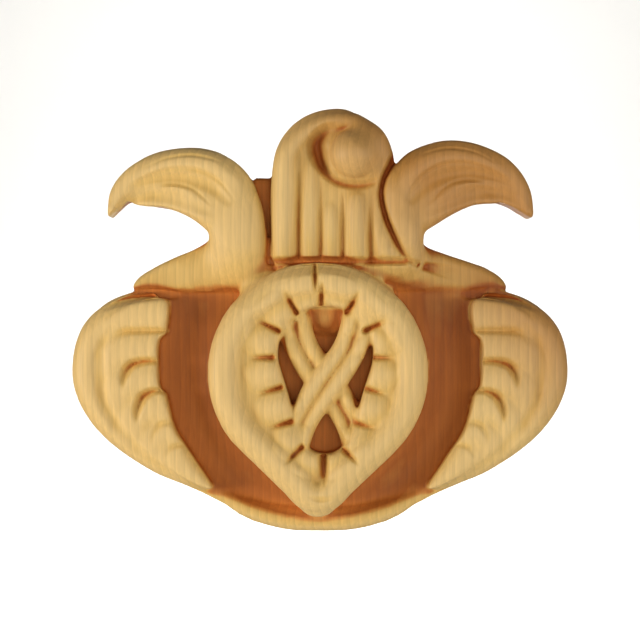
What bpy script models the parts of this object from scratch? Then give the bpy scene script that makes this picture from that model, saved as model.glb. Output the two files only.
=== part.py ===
"""Carved frieze centrepiece: a flat-backed wooden ornament for the middle of a mantelpiece frieze.

It is one solid, carved from one board. The carving is set out face up, as on a bench: X to the right,
Y towards the top of the ornament and Z up out of the board. At the end it is stood up, so that its flat
back faces +Y and its carved face -Y, with the origin in the middle of the back.

Outlines and routes are drawn in units. There are 150 of them to the width, so the carving keeps its
proportions when WIDTH changes. Heights above the back are sizes of their own, in metres.
"""

import math

import bmesh
import bpy

# Driving dimensions, in metres
WIDTH = 0.150
GROUND = 0.0055
FLANK = 0.0105
COLLAR = 0.0110
LEAF = 0.0090
SCROLL = 0.0095
FRUIT = 0.0135
OPENING = 0.0070
SAWN_EDGE = 0.0012
SOFT_EDGE = 0.0026

# Proportions, in units of a 150th of the width
UNIT = WIDTH / 150
FRUIT_RADIUS = 33.0
FRUIT_MIDDLE = (-0.6, -15.8)
FRUIT_TIP_RADIUS = 6.5
FRUIT_TIP_MIDDLE = (-0.6, -52.4)
RIM_HALF_WIDTH = 5.0
OPENING_RADIUS = 14.2
OPENING_MIDDLE = (1.6, -10.2)
OPENING_FOOT_RADIUS = 7.5
OPENING_FOOT_MIDDLE = (1.6, -32.5)
PETAL_COUNT = 14
PETAL_HALF_LENGTH = 6.0
PETAL_HALF_WIDTH = 4.9
STRAP_MIDDLE = (1.8, -19.0)
STRAP_REED_HALF_WIDTH = 2.8
SCROLL_RADIUS = 18.6
SCROLL_MIDDLE = (4.3, 45.0)
EYE_RADIUS = 7.7
EYE_MIDDLE = (10.4, 50.0)

# Angles and shares
COLLAR_FALL = math.radians(5)
LEFT_LEAF_RISE = 0.90

# How finely the forms are drawn, and the carved surface they are worked into
KNOT_STEPS = 6
ARC_STEPS = 24
TRIANGLE_BUDGET = 9400
VOXEL = WIDTH / 210
SPARE = 0.003

NODE = "frieze_centrepiece"
PINE = (0.62, 0.37, 0.14, 1.0)


def smooth(knots, closed=False):
    """Points on a Catmull-Rom curve through the knots. A knot's further numbers are read along with it."""
    count = len(knots)
    spans = count if closed else count - 1
    points = []
    for span in range(spans):
        around = range(span - 1, span + 3)
        if closed:
            near = [knots[i % count] for i in around]
        else:
            near = [knots[min(max(i, 0), count - 1)] for i in around]
        for step in range(KNOT_STEPS):
            t = step / KNOT_STEPS
            points.append([
                0.5 * (2 * b + (c - a) * t + (2 * a - 5 * b + 4 * c - d) * t * t + (3 * b - a - 3 * c + d) * t ** 3)
                for a, b, c, d in zip(*near)
            ])
    if not closed:
        points.append(list(knots[-1]))
    return points


def mirrored(knots):
    """The same knots on the other side of the middle line."""
    return [(-knot[0], *knot[1:]) for knot in knots]


def drop(middle, radius, foot_middle, foot_radius):
    """The outline round two circles, one below the other, anticlockwise from its lowest point."""
    lean = math.asin((radius - foot_radius) / (middle[1] - foot_middle[1]))
    right, left = -lean, math.pi + lean
    arcs = [
        (-math.pi / 2, right, foot_middle, foot_radius),
        (right, left, middle, radius),
        (left, 3 * math.pi / 2, foot_middle, foot_radius),
    ]
    points = []
    for start, end, centre, reach in arcs:
        for step in range(ARC_STEPS):
            turn = start + (end - start) * step / ARC_STEPS
            points.append((centre[0] + reach * math.cos(turn), centre[1] + reach * math.sin(turn)))
    return points


def evenly(points, count):
    """Places spaced evenly along a closed outline, half a space from its start, with the direction there."""
    sides = list(zip(points, points[1:] + points[:1]))
    total = sum(math.dist(a, b) for a, b in sides)
    places = []
    passed = 0.0
    for a, b in sides:
        length = math.dist(a, b)
        while len(places) < count and passed + length >= total * (len(places) + 0.5) / count:
            share = (total * (len(places) + 0.5) / count - passed) / length
            place = [p + (q - p) * share for p, q in zip(a, b)]
            places.append((*place, math.atan2(b[1] - a[1], b[0] - a[0])))
        passed += length
    return places


def add_curve(name, outlines, closed=True):
    """A curve object with one poly spline for each outline. A third number on a point is its half width."""
    curve = bpy.data.curves.new(name, "CURVE")
    for outline in outlines:
        spline = curve.splines.new("POLY")
        spline.points.add(len(outline) - 1)
        for point, place in zip(spline.points, outline):
            point.co = (place[0] * UNIT, place[1] * UNIT, 0.0, 1.0)
            if len(place) > 2:
                point.radius = place[2]
        spline.use_cyclic_u = closed
    form = bpy.data.objects.new(name, curve)
    bpy.context.scene.collection.objects.link(form)
    return form


def plate(name, outlines, top, edge=SAWN_EDGE):
    """Wood left standing inside the outlines, up to the height top, with its upper edge rounded over."""
    form = add_curve(name, outlines)
    form.data.dimensions = "2D"
    form.data.fill_mode = "BOTH"
    form.data.bevel_depth = edge
    form.data.bevel_resolution = 3
    form.data.offset = -edge
    form.data.extrude = (top + SPARE) / 2 - edge
    form.location.z = (top - SPARE) / 2
    return form


def round_ends(route):
    """Draws the half widths at both ends of a route in, so that it ends in a half round."""
    lengths = [0.0]
    for a, b in zip(route, route[1:]):
        lengths.append(lengths[-1] + math.dist(a[:2], b[:2]))
    rounded = []
    for place, length in zip(route, lengths):
        half_width = place[2]
        reach = min(length, lengths[-1] - length)
        short = max(0.0, 1.0 - reach / half_width)
        rounded.append((place[0], place[1], half_width * max(0.12, math.sqrt(1.0 - short * short))))
    return rounded


def reed(name, knots, base, crown, closed=False):
    """A rounded ridge along a route. Its crest stands above base by crown times the half width there."""
    route = smooth(knots, closed)
    form = add_curve(name, [route if closed else round_ends(route)], closed)
    form.data.dimensions = "3D"
    form.data.twist_mode = "Z_UP"
    form.data.bevel_depth = UNIT
    form.data.bevel_resolution = 5
    form.data.use_fill_caps = True
    form.scale.z = crown
    form.location.z = base
    return form


def egg(name, middle, half_length, half_width, height, base, turn=0.0):
    """A rounded lump whose long axis is turned from X, anticlockwise."""
    mesh = bpy.data.meshes.new(name)
    work = bmesh.new()
    bmesh.ops.create_uvsphere(work, u_segments=24, v_segments=14, radius=1.0)
    work.to_mesh(mesh)
    work.free()
    form = bpy.data.objects.new(name, mesh)
    bpy.context.scene.collection.objects.link(form)
    form.scale = (half_length * UNIT, half_width * UNIT, height)
    form.rotation_euler.z = turn
    form.location = (middle[0] * UNIT, middle[1] * UNIT, base)
    return form


def cup():
    """The bowl behind everything: the ground of the deep hollow on each side of the fruit, and its lower lip."""
    right = [
        (0, 16), (40, 12), (57, 8.5), (66.5, 4), (72.8, -4), (75, -14), (73.4, -23.5), (66.5, -34),
        (51, -45.5), (36, -52.4), (26, -57.6), (20, -61.2), (10, -63.3),
    ]
    left = mirrored(right[1:])[::-1]
    lip = [(31, -52.4, 1.5), (22, -56.8, 3.2), (11, -59.6, 3.9), (0, -60.2, 3.9)]
    web = [(24, 12), (24, 40), (22.5, 48), (10, 45), (-10, 43), (-20.5, 44.6), (-24, 36), (-24, 12)]
    return [
        plate("cup", [smooth([*right, (0, -63.75), *left], closed=True)], GROUND),
        plate("web", [web], GROUND),
        reed("lip", lip + mirrored(lip[:-1])[::-1], GROUND - 1.5 * UNIT, 1.0),
    ]


def flank_leaf(side):
    """The leaf on one flank of the cup: a rolled border, and leaflets that sweep from it towards the fruit."""
    turned = mirrored if side < 0 else list
    border = [
        (49, 7.0, 1.6), (60, 3.6, 3.2), (67.6, -3.6, 4.5), (70.2, -14, 4.8), (68.4, -23.2, 4.8),
        (61.8, -32.6, 4.5), (50.4, -41.6, 3.8), (41.5, -46.4, 3.0), (33.4, -50.4, 1.6),
    ]
    bed = [
        (47.3, 6), (57, 5), (66, -2), (70, -14), (68, -24), (60, -34), (48, -43), (38, -49), (33.5, -50.3),
        (39, -42), (44.5, -32.5), (47.6, -23), (49.4, -18), (49.4, -7), (47.4, -3),
    ]
    leaflets = [
        [(67, -8, 2.5), (63.5, -1.5, 5.0), (57, 1.4, 5.4), (46.6, 1.0, 5.4)],
        [(67.5, -18, 2.5), (64.5, -10.5, 4.6), (58.5, -8.0, 5.3), (48.4, -8.6, 5.2)],
        [(66.5, -27.5, 2.5), (63.5, -20.0, 4.8), (58, -17.2, 5.3), (48.6, -17.6, 5.2)],
        [(60, -35.5, 2.5), (59, -29.5, 5.0), (54.5, -26.4, 5.8), (46.8, -27, 5.6)],
        [(35, -49.8, 1.4), (41.5, -44.8, 3.6), (46, -38.8, 5.0), (47.2, -33.0, 5.0)],
    ]
    forms = [
        plate("flank_bed", [smooth(turned(bed), closed=True)], FLANK),
        reed("flank_border", turned(border), FLANK - 4.0 * UNIT, 1.25),
    ]
    for leaflet in leaflets:
        forms.append(reed("leaflet", turned(leaflet), FLANK - 2.6 * UNIT, 1.1))
    return forms


def collar(side):
    """The wedge under one curling leaf: highest beside the fruit, and running out along the cup's top."""
    turned = mirrored if side < 0 else list
    outline = [
        (8, 9), (24, 8.6), (40, 8.4), (52, 8.4), (56.6, 9.4), (55.2, 12.7), (50.5, 15.8), (44.8, 18.6),
        (37.6, 21.6), (33.2, 24.4), (30, 28), (20, 28), (10, 20),
    ]
    form = plate("collar", [smooth(turned(outline), closed=True)], COLLAR, edge=SOFT_EDGE)
    form.rotation_euler.y = side * COLLAR_FALL
    return [form]


def curling_leaf(side):
    """The leaf that rises beside the scroll and curls outwards, hollow between its two edges."""
    outline = [
        (19.4, 14), (18.6, 33), (19.8, 42), (25.5, 49.6), (33, 53.2), (40, 54.2), (47.3, 53.1), (55.0, 49.8),
        (60.2, 45.2), (63.2, 40), (64.0, 35), (62.8, 31.6), (58.4, 33.6), (51, 35.2), (43.8, 33.6),
        (37.6, 30.0), (33.4, 27), (33.4, 22), (29, 14),
    ]
    upper_edge = [
        (23.4, 19, 2.2), (23.2, 30, 4.0), (25.2, 40.2, 5.0), (32.2, 47.2, 5.4), (42, 49.0, 4.9),
        (51.6, 46.6, 4.4), (58.4, 40.8, 3.6), (61.9, 33.6, 1.7),
    ]
    lower_edge = [
        (28.4, 22, 3.0), (30.4, 28.4, 3.8), (37, 34.6, 4.0), (45.4, 38.0, 3.6), (53, 38.0, 2.9), (59.5, 35.4, 1.8),
    ]
    if side < 0:
        foot = 30.0
        parts = []
        for knots in (outline, upper_edge, lower_edge):
            parts.append([
                (-x, foot + (y - foot) * (LEFT_LEAF_RISE if y > foot else 1.0), *wide) for x, y, *wide in knots
            ])
        outline, upper_edge, lower_edge = parts
    return [
        plate("leaf_bed", [smooth(outline, closed=True)], LEAF, edge=SOFT_EDGE),
        reed("leaf_upper_edge", upper_edge, LEAF - 2.5 * UNIT, 1.35),
        reed("leaf_lower_edge", lower_edge, LEAF - 2.0 * UNIT, 1.2),
        egg("leaf_root", (side * 26.4, 23.0), 13.0, 7.6, 5.0 * UNIT, LEAF, side * math.radians(84)),
    ]


def scroll():
    """The fluted stem in the middle, which turns over at its top into a volute with a round eye."""
    dome = [
        (SCROLL_MIDDLE[0] + SCROLL_RADIUS * math.cos(math.radians(a)),
         SCROLL_MIDDLE[1] + SCROLL_RADIUS * math.sin(math.radians(a)))
        for a in range(175, -26, -20)
    ]
    stem = [(18.4, 33), (21, 25), (24, 18.6), (14, 17.6), (0, 17.4), (-13.6, 18), (-14.6, 24), (-14.9, 36)]
    band = [(-10.8, 18, 3.8), (-10.9, 29, 4.0), (-10.6, 40, 4.0)]
    for angle in range(165, -121, -20):
        share = (165 - angle) / 285
        radius = 14.8 - 5.2 * share
        middle = [a + (b - a) * share for a, b in zip(SCROLL_MIDDLE, EYE_MIDDLE)]
        band.append((
            middle[0] + radius * math.cos(math.radians(angle)),
            middle[1] + radius * math.sin(math.radians(angle)),
            3.8 - 1.8 * share,
        ))
    flutes = [
        [(-3.2, 18, 2.6), (-3.4, 29, 2.6), (-3.2, 38, 2.5), (-2.4, 46, 2.2), (0.2, 53, 1.5)],
        [(3.4, 18, 2.6), (3.2, 28, 2.5), (3.1, 33, 2.2), (3.1, 37, 1.6)],
        [(11.4, 18, 3.2), (11.0, 28, 3.0), (10.8, 36, 2.6), (10.8, 40, 1.8)],
        [(20.6, 18.6, 3.2), (18.4, 24, 3.0), (16.6, 31, 2.5), (16.2, 40, 1.8)],
    ]
    forms = [
        plate("scroll_bed", [smooth([*dome, *stem], closed=True)], SCROLL, edge=SOFT_EDGE),
        reed("scroll_band", band, SCROLL - 1.0 * UNIT, 1.45),
        egg("scroll_eye", EYE_MIDDLE, EYE_RADIUS, EYE_RADIUS, 8.5 * UNIT, SCROLL),
    ]
    for flute in flutes:
        forms.append(reed("flute", flute, SCROLL - 0.5 * UNIT, 1.5))
    return forms


def fruit():
    """The boss: a split fruit with a broad rolled rim, a border of petals and a deep opening."""
    outline = drop(FRUIT_MIDDLE, FRUIT_RADIUS, FRUIT_TIP_MIDDLE, FRUIT_TIP_RADIUS)
    opening = drop(OPENING_MIDDLE, OPENING_RADIUS, OPENING_FOOT_MIDDLE, OPENING_FOOT_RADIUS)
    rim = drop(FRUIT_MIDDLE, FRUIT_RADIUS - RIM_HALF_WIDTH, FRUIT_TIP_MIDDLE, FRUIT_TIP_RADIUS - RIM_HALF_WIDTH)
    rim_knots = [(x, y, RIM_HALF_WIDTH) for x, y, along in evenly(rim, ARC_STEPS)]
    middle = [(a + b) / 2 for a, b in zip(FRUIT_MIDDLE, OPENING_MIDDLE)]
    forms = [
        plate("fruit_wall", [outline, opening[::-1]], FRUIT, edge=SAWN_EDGE),
        plate("opening_floor", [outline], OPENING),
        reed("fruit_rim", rim_knots, FRUIT - 0.5 * UNIT, 1.05, closed=True),
    ]
    ring = drop(
        (middle[0], OPENING_MIDDLE[1]), OPENING_RADIUS + PETAL_HALF_LENGTH - 0.5,
        (middle[0], OPENING_FOOT_MIDDLE[1]), OPENING_FOOT_RADIUS + PETAL_HALF_LENGTH - 0.5,
    )
    for x, y, along in evenly(ring, PETAL_COUNT):
        forms.append(egg(
            "petal", (x, y), PETAL_HALF_LENGTH, PETAL_HALF_WIDTH, 6.0 * UNIT, FRUIT, along + math.pi / 2
        ))
    return forms


def lattice():
    """Two reeded straps that cross in the opening. The rising one lies on top."""
    strap = [(-10.0, -22.0, 0.7), (-8.0, -11.5, 0.8), (0.0, 0.0, 1.0), (8.0, 11.5, 0.8), (10.0, 22.0, 0.7)]
    forms = []
    for side, base in ((1, OPENING + 3.0 * UNIT), (-1, OPENING + 1.6 * UNIT)):
        for offset in (-1.3 * STRAP_REED_HALF_WIDTH, 1.3 * STRAP_REED_HALF_WIDTH):
            route = [
                (STRAP_MIDDLE[0] + side * x + offset * share, STRAP_MIDDLE[1] + y, STRAP_REED_HALF_WIDTH * share)
                for x, y, share in strap
            ]
            forms.append(reed("strap_reed", route, base, 1.5))
    return forms


def join(forms):
    """Turns every form into mesh and makes them one object."""
    bpy.ops.object.select_all(action="DESELECT")
    for form in forms:
        form.select_set(True)
    bpy.context.view_layer.objects.active = forms[0]
    bpy.ops.object.convert(target="MESH")
    bpy.ops.object.join()
    block = bpy.context.view_layer.objects.active
    bpy.ops.object.transform_apply(location=True, rotation=True, scale=True)
    return block


def bench(collection):
    """The flat the ornament lies on: a cutter that takes off all that reaches below the back."""
    mesh = bpy.data.meshes.new("bench")
    work = bmesh.new()
    bmesh.ops.create_cube(work, size=2 * WIDTH)
    bmesh.ops.translate(work, verts=work.verts, vec=(0.0, 0.0, -WIDTH))
    work.to_mesh(mesh)
    work.free()
    cutter = bpy.data.objects.new("bench", mesh)
    cutter.hide_render = True
    cutter.display_type = "WIRE"
    collection.objects.link(cutter)
    return cutter


def work_into_one(block, cutter):
    """Fuses the forms into one carved surface, eases it as sanding does, and cuts the back flat."""
    fuse = block.modifiers.new("fuse", "REMESH")
    fuse.mode = "VOXEL"
    fuse.voxel_size = VOXEL
    fuse.adaptivity = 0.0
    ease = block.modifiers.new("ease", "SMOOTH")
    ease.factor = 0.5
    ease.iterations = 3
    fused = block.evaluated_get(bpy.context.evaluated_depsgraph_get()).data
    quads = len(fused.polygons)
    thin = block.modifiers.new("thin", "DECIMATE")
    thin.ratio = min(1.0, TRIANGLE_BUDGET / (2 * quads))
    flat = block.modifiers.new("flat_back", "BOOLEAN")
    flat.operation = "DIFFERENCE"
    flat.solver = "EXACT"
    flat.object = cutter


def pine():
    """Pale sanded pine, with no finish on it."""
    material = bpy.data.materials.new("pine")
    material.use_nodes = True
    shader = material.node_tree.nodes["Principled BSDF"]
    shader.inputs["Base Color"].default_value = PINE
    shader.inputs["Roughness"].default_value = 0.55
    shader.inputs["Metallic"].default_value = 0.0
    return material


def stand_up(block, cutter):
    """Turns the bench's frame into the ornament's own: back to +Y, carved face to -Y, top to +Z."""
    upright = bpy.data.objects.new("upright", None)
    upright.rotation_euler.x = math.radians(90)
    bpy.context.scene.collection.objects.link(upright)
    block.parent = upright
    cutter.parent = upright


def main():
    for old in list(bpy.data.objects):
        bpy.data.objects.remove(old)
    ornament = bpy.data.collections.new("frieze centrepiece")
    cutters = bpy.data.collections.new("cutters")
    bpy.context.scene.collection.children.link(ornament)
    bpy.context.scene.collection.children.link(cutters)
    forms = cup() + scroll() + fruit() + lattice()
    for side in (-1, 1):
        forms += flank_leaf(side) + collar(side) + curling_leaf(side)
    block = join(forms)
    block.name = NODE
    block.data.name = NODE
    block.data.materials.clear()
    block.data.materials.append(pine())
    for holder in list(block.users_collection):
        holder.objects.unlink(block)
    ornament.objects.link(block)
    cutter = bench(cutters)
    work_into_one(block, cutter)
    stand_up(block, cutter)


main()
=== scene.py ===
"""The carved frieze centrepiece in sanded pine, with its fine carving, on a plain studio stage.

The carving is worked face up, as on a bench: X to the right, Y towards the top of the ornament and Z up out
of the board. Once it is finished it is stood up into the frame's own axes, with its flat back at y = 0.
Outlines, routes and chisel cuts are drawn in units, of which the ornament is 150 wide.
"""

import math

import bpy
import numpy as np
from bpy.props import FloatProperty, FloatVectorProperty, PointerProperty
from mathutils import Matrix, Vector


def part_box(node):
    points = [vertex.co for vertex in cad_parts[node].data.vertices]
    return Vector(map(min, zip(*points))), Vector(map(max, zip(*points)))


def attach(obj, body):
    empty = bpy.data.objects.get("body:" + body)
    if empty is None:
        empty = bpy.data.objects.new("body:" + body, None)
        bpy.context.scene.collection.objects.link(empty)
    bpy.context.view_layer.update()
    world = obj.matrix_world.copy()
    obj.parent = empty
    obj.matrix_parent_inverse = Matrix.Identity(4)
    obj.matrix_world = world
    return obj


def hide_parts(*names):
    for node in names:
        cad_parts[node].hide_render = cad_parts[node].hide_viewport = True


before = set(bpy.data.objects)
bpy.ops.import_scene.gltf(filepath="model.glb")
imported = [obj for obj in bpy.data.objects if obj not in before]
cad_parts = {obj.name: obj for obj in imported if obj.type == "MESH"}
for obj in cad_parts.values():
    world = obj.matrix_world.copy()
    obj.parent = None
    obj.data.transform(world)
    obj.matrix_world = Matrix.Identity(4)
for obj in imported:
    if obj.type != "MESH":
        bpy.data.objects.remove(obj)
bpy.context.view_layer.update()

bl_info = {
    "name": "Carved Frieze Centrepiece",
    "version": (1, 0, 0),
    "blender": (4, 5, 0),
    "location": "3D Viewport > Sidebar > Carving",
    "description": "Carves a leafed wooden centrepiece for a frieze and sets it on a studio stage",
    "category": "Add Mesh",
}

NODE = "frieze_centrepiece"
CAD_LOW, CAD_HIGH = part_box(NODE)
CAD_WIDTH = CAD_HIGH[0] - CAD_LOW[0]

# The carving's width in units, which the places and sizes below are in as well
DRAWN_WIDTH = 150.0

# The fruit, its opening and what lies in it
FRUIT_RADIUS = 33.0
FRUIT_MIDDLE = (-0.6, -15.8)
FRUIT_TIP_RADIUS = 6.5
FRUIT_TIP_MIDDLE = (-0.6, -52.4)
RIM_HALF_WIDTH = 5.0
OPENING_RADIUS = 14.2
OPENING_MIDDLE = (1.6, -10.2)
OPENING_FOOT_RADIUS = 7.5
OPENING_FOOT_MIDDLE = (1.6, -32.5)
PETAL_COUNT = 14
PETAL_HALF_LENGTH = 6.0
PETAL_HALF_WIDTH = 5.3
PETAL_RISE = 2.9
PETAL_LONG_REACH = 3.0
PETAL_SHORT_REACH = 0.6
PETAL_LONG_ABOVE = FRUIT_MIDDLE[1] - 14.0
STRAP_MIDDLE = (1.8, -19.0)
STRAP_REED_HALF_WIDTH = 3.0
STRAP_REED_SPREAD = 3.2
STRAP_CORE_HALF_WIDTH = 4.6

# The scroll, the collar and the curling leaves
SCROLL_RADIUS = 18.6
SCROLL_MIDDLE = (4.3, 45.0)
EYE_RADIUS = 7.7
EYE_MIDDLE = (10.4, 50.0)
FOOT_LINE = 17.6
COLLAR_FALL = math.radians(5)
RIGHT_COLLAR_DROP = 1.3
LEFT_LEAF_RISE = 0.90
LEAF_FOOT = 30.0

# The plates' edge radii, and the spare wood that is sawn off the back
SAWN_EDGE = 1.2
SOFT_EDGE = 2.6
SPARE = 3.0

# How finely the forms are drawn
KNOT_STEPS = 8
ARC_STEPS = 32
BLUNT_END = 0.12
KEPT_TRIANGLES = 180000
MOST_TRIANGLES = 199000

# Work on the whole surface, and passes of sandpaper
STRAY_LENGTH = 7.0
RUBBED_ABOVE = 6.5
LONG_RUB = 120
RUB = 60
SHORT_RUB = 50
CREST_HEIGHT = 18.8
CREST_SHARE = 0.5
SIDE_FALL = 1.4
SIDE_FALL_FROM = 40.0
SIDE_FALL_TO = 72.0

# Lowest heights that cuts reach, above the back
CUP_FLOOR = 5.0
GROOVE_FLOOR = 6.0
LEAF_FLOOR = 8.0
BED_FLOOR = 9.0
SPLIT_FLOOR = 12.0
PETAL_FLOOR = 13.4

# How the hollows are read, for the painted shade in the wood's colour
HEIGHT_CELL = 0.8
GRID_MARGIN = 2.0
SKYLINE_DIRECTIONS = 16
SKYLINE_REACH = (1.2, 2.0, 3.0, 4.5, 6.5, 9.0, 12.0, 16.0)
OUTWARD_WEIGHT = 0.6
HOLLOW_SMOOTHING = 4
# Extra painted shade on low points, and none on the sawn back
DEEP_BELOW = 8.4
DEEP_BAND = 2.0
DEEP_SHARE = 0.18
BACK_BAND = 0.3
HOLLOW_FULL = 0.7

# Where the painted shade towards the upper right starts and where it is full, in metres along X plus a share
# of Z
UPPER_RIGHT_SHADE_FROM = 0.028
UPPER_RIGHT_SHADE_FULL = 0.070
UPPER_RIGHT_SHADE_Z_SHARE = 0.9

# The stage's lights: name, place, target, width and height in metres, watts and colour
PIECE_MIDDLE = (0.0, 0.0, 0.0)
LIGHTS = (
    ("key", (-0.71, -0.37, -0.04), PIECE_MIDDLE, 0.40, 0.16, 4.6, "FFF8EE"),
    ("front_strip", (0.30, -0.92, -0.05), PIECE_MIDDLE, 1.5, 0.20, 5.2, "FFFCF6"),
    ("right_fill", (0.85, -0.34, 0.0), PIECE_MIDDLE, 0.3, 0.2, 1.9, "FFFCF6"),
    ("backdrop_light", (0.0, 0.85, -0.36), (0.0, 1.35, 0.1), 0.5, 0.5, 16.0, "FFFFFF"),
)
AIR_STRENGTH = 0.08
SENSOR_WIDTH = 36.0


def hex_colour(code):
    """An sRGB hex value as the linear colour that Blender works in."""
    shares = [int(code[i:i + 2], 16) / 255 for i in (0, 2, 4)]
    linear = [s / 12.92 if s <= 0.04045 else ((s + 0.055) / 1.055) ** 2.4 for s in shares]
    return (*linear, 1.0)


class CarvingSizes(bpy.types.PropertyGroup):
    """Sizes of the carving. Heights are above the flat back."""

    width: FloatProperty(
        name="Width", description="Across the two flank leaves", default=CAD_WIDTH, unit="LENGTH")
    ground: FloatProperty(
        name="Ground", description="Height of the cup behind everything", default=0.0055, unit="LENGTH")
    flank: FloatProperty(
        name="Flank leaves", description="Height of the two flank leaves' beds", default=0.0105,
        unit="LENGTH")
    collar: FloatProperty(
        name="Collar", description="Height of the collar beside the scroll", default=0.0110, unit="LENGTH")
    leaf: FloatProperty(
        name="Curling leaves", description="Height of the curling leaves' beds", default=0.0090,
        unit="LENGTH")
    scroll: FloatProperty(
        name="Scroll", description="Height of the scroll's bed", default=0.0095, unit="LENGTH")
    fruit: FloatProperty(
        name="Fruit", description="Height of the fruit under its rim and petals", default=0.0131,
        unit="LENGTH")
    opening: FloatProperty(
        name="Opening", description="Height of the floor of the fruit's opening", default=0.0070,
        unit="LENGTH")
    detail: FloatProperty(
        name="Detail", description="Spacing of the carved surface's points", default=0.00045, unit="LENGTH")
    hand: FloatProperty(
        name="Hand of the carver", description="How far tool and sandpaper stray", default=0.00007,
        unit="LENGTH")


class PineColoursAndShade(bpy.types.PropertyGroup):
    """The pine's colours as painted highlight and painted shade from what stands out to what lies deep, a
    painted shade towards the upper right, and the sizes of its grain.
    """

    # The six ramp colours below are painted light and shade: a painted highlight on open crests, then ever
    # deeper painted shade into the hollows
    crest_highlight: FloatVectorProperty(
        name="Raised", description="Rubbed edges and crests", default=hex_colour("DDBA78"),
        subtype="COLOR", size=4)
    flat: FloatVectorProperty(
        name="Flat", description="Open surfaces", default=hex_colour("D8B266"),
        subtype="COLOR", size=4)
    shade_beside_rise: FloatVectorProperty(
        name="Sheltered", description="Beside a rise", default=hex_colour("D2A85A"),
        subtype="COLOR", size=4)
    hollow: FloatVectorProperty(
        name="Hollow", description="In the cup's hollows", default=hex_colour("C07E38"),
        subtype="COLOR", size=4)
    deep: FloatVectorProperty(
        name="Deep", description="In grooves and corners", default=hex_colour("A65C20"),
        subtype="COLOR", size=4)
    deepest_shade: FloatVectorProperty(
        name="Deepest", description="On the opening's floor", default=hex_colour("C87A38"),
        subtype="COLOR", size=4)
    # Painted shade: this colour multiplies all the others darker towards the upper right
    upper_right_shade: FloatVectorProperty(
        name="Heartwood", description="How the heart's side of the board darkens all of them",
        default=hex_colour("D2B496"), subtype="COLOR", size=4)
    ring: FloatProperty(
        name="Growth rings", description="Spacing of the growth rings", default=0.0026, unit="LENGTH")
    fibre: FloatProperty(
        name="Fibres", description="Width of the fibres across the grain", default=0.00035, unit="LENGTH")


class StudioSizes(bpy.types.PropertyGroup):
    """Sizes of the stage round the piece, from the piece's middle, and the paint on it."""

    floor_drop: FloatProperty(
        name="Floor", description="How far the floor lies below the piece", default=0.45, unit="LENGTH")
    sweep_width: FloatProperty(
        name="Width", description="Across floor and backdrop", default=5.0, unit="LENGTH")
    sweep_front: FloatProperty(
        name="Front", description="How far the floor reaches in front of the piece", default=2.0,
        unit="LENGTH")
    sweep_back: FloatProperty(
        name="Back", description="How far behind the piece the backdrop stands", default=1.4,
        unit="LENGTH")
    sweep_height: FloatProperty(
        name="Height", description="Height of the backdrop", default=3.0, unit="LENGTH")
    sweep_curve: FloatProperty(
        name="Curve", description="Radius where floor and backdrop meet", default=0.8, unit="LENGTH")
    camera_distance: FloatProperty(
        name="Camera", description="How far in front of the back the camera stands", default=0.545,
        unit="LENGTH")
    lens: FloatProperty(
        name="Lens", description="Focal length", default=100.0, unit="CAMERA")
    emulsion: FloatVectorProperty(
        name="Emulsion", description="Paint on floor and backdrop", default=hex_colour("F4F3F0"),
        subtype="COLOR", size=4)


def smooth(knots, closed=False):
    """Points on a Catmull-Rom curve through the knots. A knot's further numbers are read along with it."""
    count = len(knots)
    spans = count if closed else count - 1
    points = []
    for span in range(spans):
        around = range(span - 1, span + 3)
        if closed:
            near = [knots[i % count] for i in around]
        else:
            near = [knots[min(max(i, 0), count - 1)] for i in around]
        for step in range(KNOT_STEPS):
            t = step / KNOT_STEPS
            weights = (
                (-t + 2 * t ** 2 - t ** 3) / 2,
                (2 - 5 * t ** 2 + 3 * t ** 3) / 2,
                (t + 4 * t ** 2 - 3 * t ** 3) / 2,
                (t ** 3 - t ** 2) / 2,
            )
            points.append([sum(w * v for w, v in zip(weights, values)) for values in zip(*near)])
    if not closed:
        points.append(list(knots[-1]))
    return points


def mirrored(knots):
    """The same knots on the other side of the middle line."""
    return [(-knot[0], *knot[1:]) for knot in knots]


def drop(middle, radius, foot_middle, foot_radius):
    """The outline round two circles, one below the other, anticlockwise from its lowest point."""
    lean = math.asin((radius - foot_radius) / (middle[1] - foot_middle[1]))
    right, left = -lean, math.pi + lean
    arcs = [
        (-math.pi / 2, right, foot_middle, foot_radius),
        (right, left, middle, radius),
        (left, 3 * math.pi / 2, foot_middle, foot_radius),
    ]
    points = []
    for start, end, centre, reach in arcs:
        for step in range(ARC_STEPS):
            turn = start + (end - start) * step / ARC_STEPS
            points.append((centre[0] + reach * math.cos(turn), centre[1] + reach * math.sin(turn)))
    return points


def evenly(points, count, start=0.5):
    """Places evenly along a closed outline, with its direction there. The first is at start of a space."""
    sides = list(zip(points, points[1:] + points[:1]))
    total = sum(math.dist(a, b) for a, b in sides)
    places = []
    passed = 0.0
    for a, b in sides:
        length = math.dist(a, b)
        while len(places) < count and passed + length >= total * (len(places) + start) / count:
            share = (total * (len(places) + start) / count - passed) / length
            place = [p + (q - p) * share for p, q in zip(a, b)]
            places.append((*place, math.atan2(b[1] - a[1], b[0] - a[0])))
        passed += length
    return places


def round_ends(route):
    """Draws the half widths at both ends of a route in, so that it ends in a half round."""
    lengths = [0.0]
    for a, b in zip(route, route[1:]):
        lengths.append(lengths[-1] + math.dist(a[:2], b[:2]))
    rounded = []
    for place, length in zip(route, lengths):
        half_width = place[2]
        reach = min(length, lengths[-1] - length)
        short = max(0.0, 1.0 - reach / half_width)
        rounded.append((place[0], place[1], half_width * max(BLUNT_END, math.sqrt(1.0 - short * short))))
    return rounded


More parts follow.
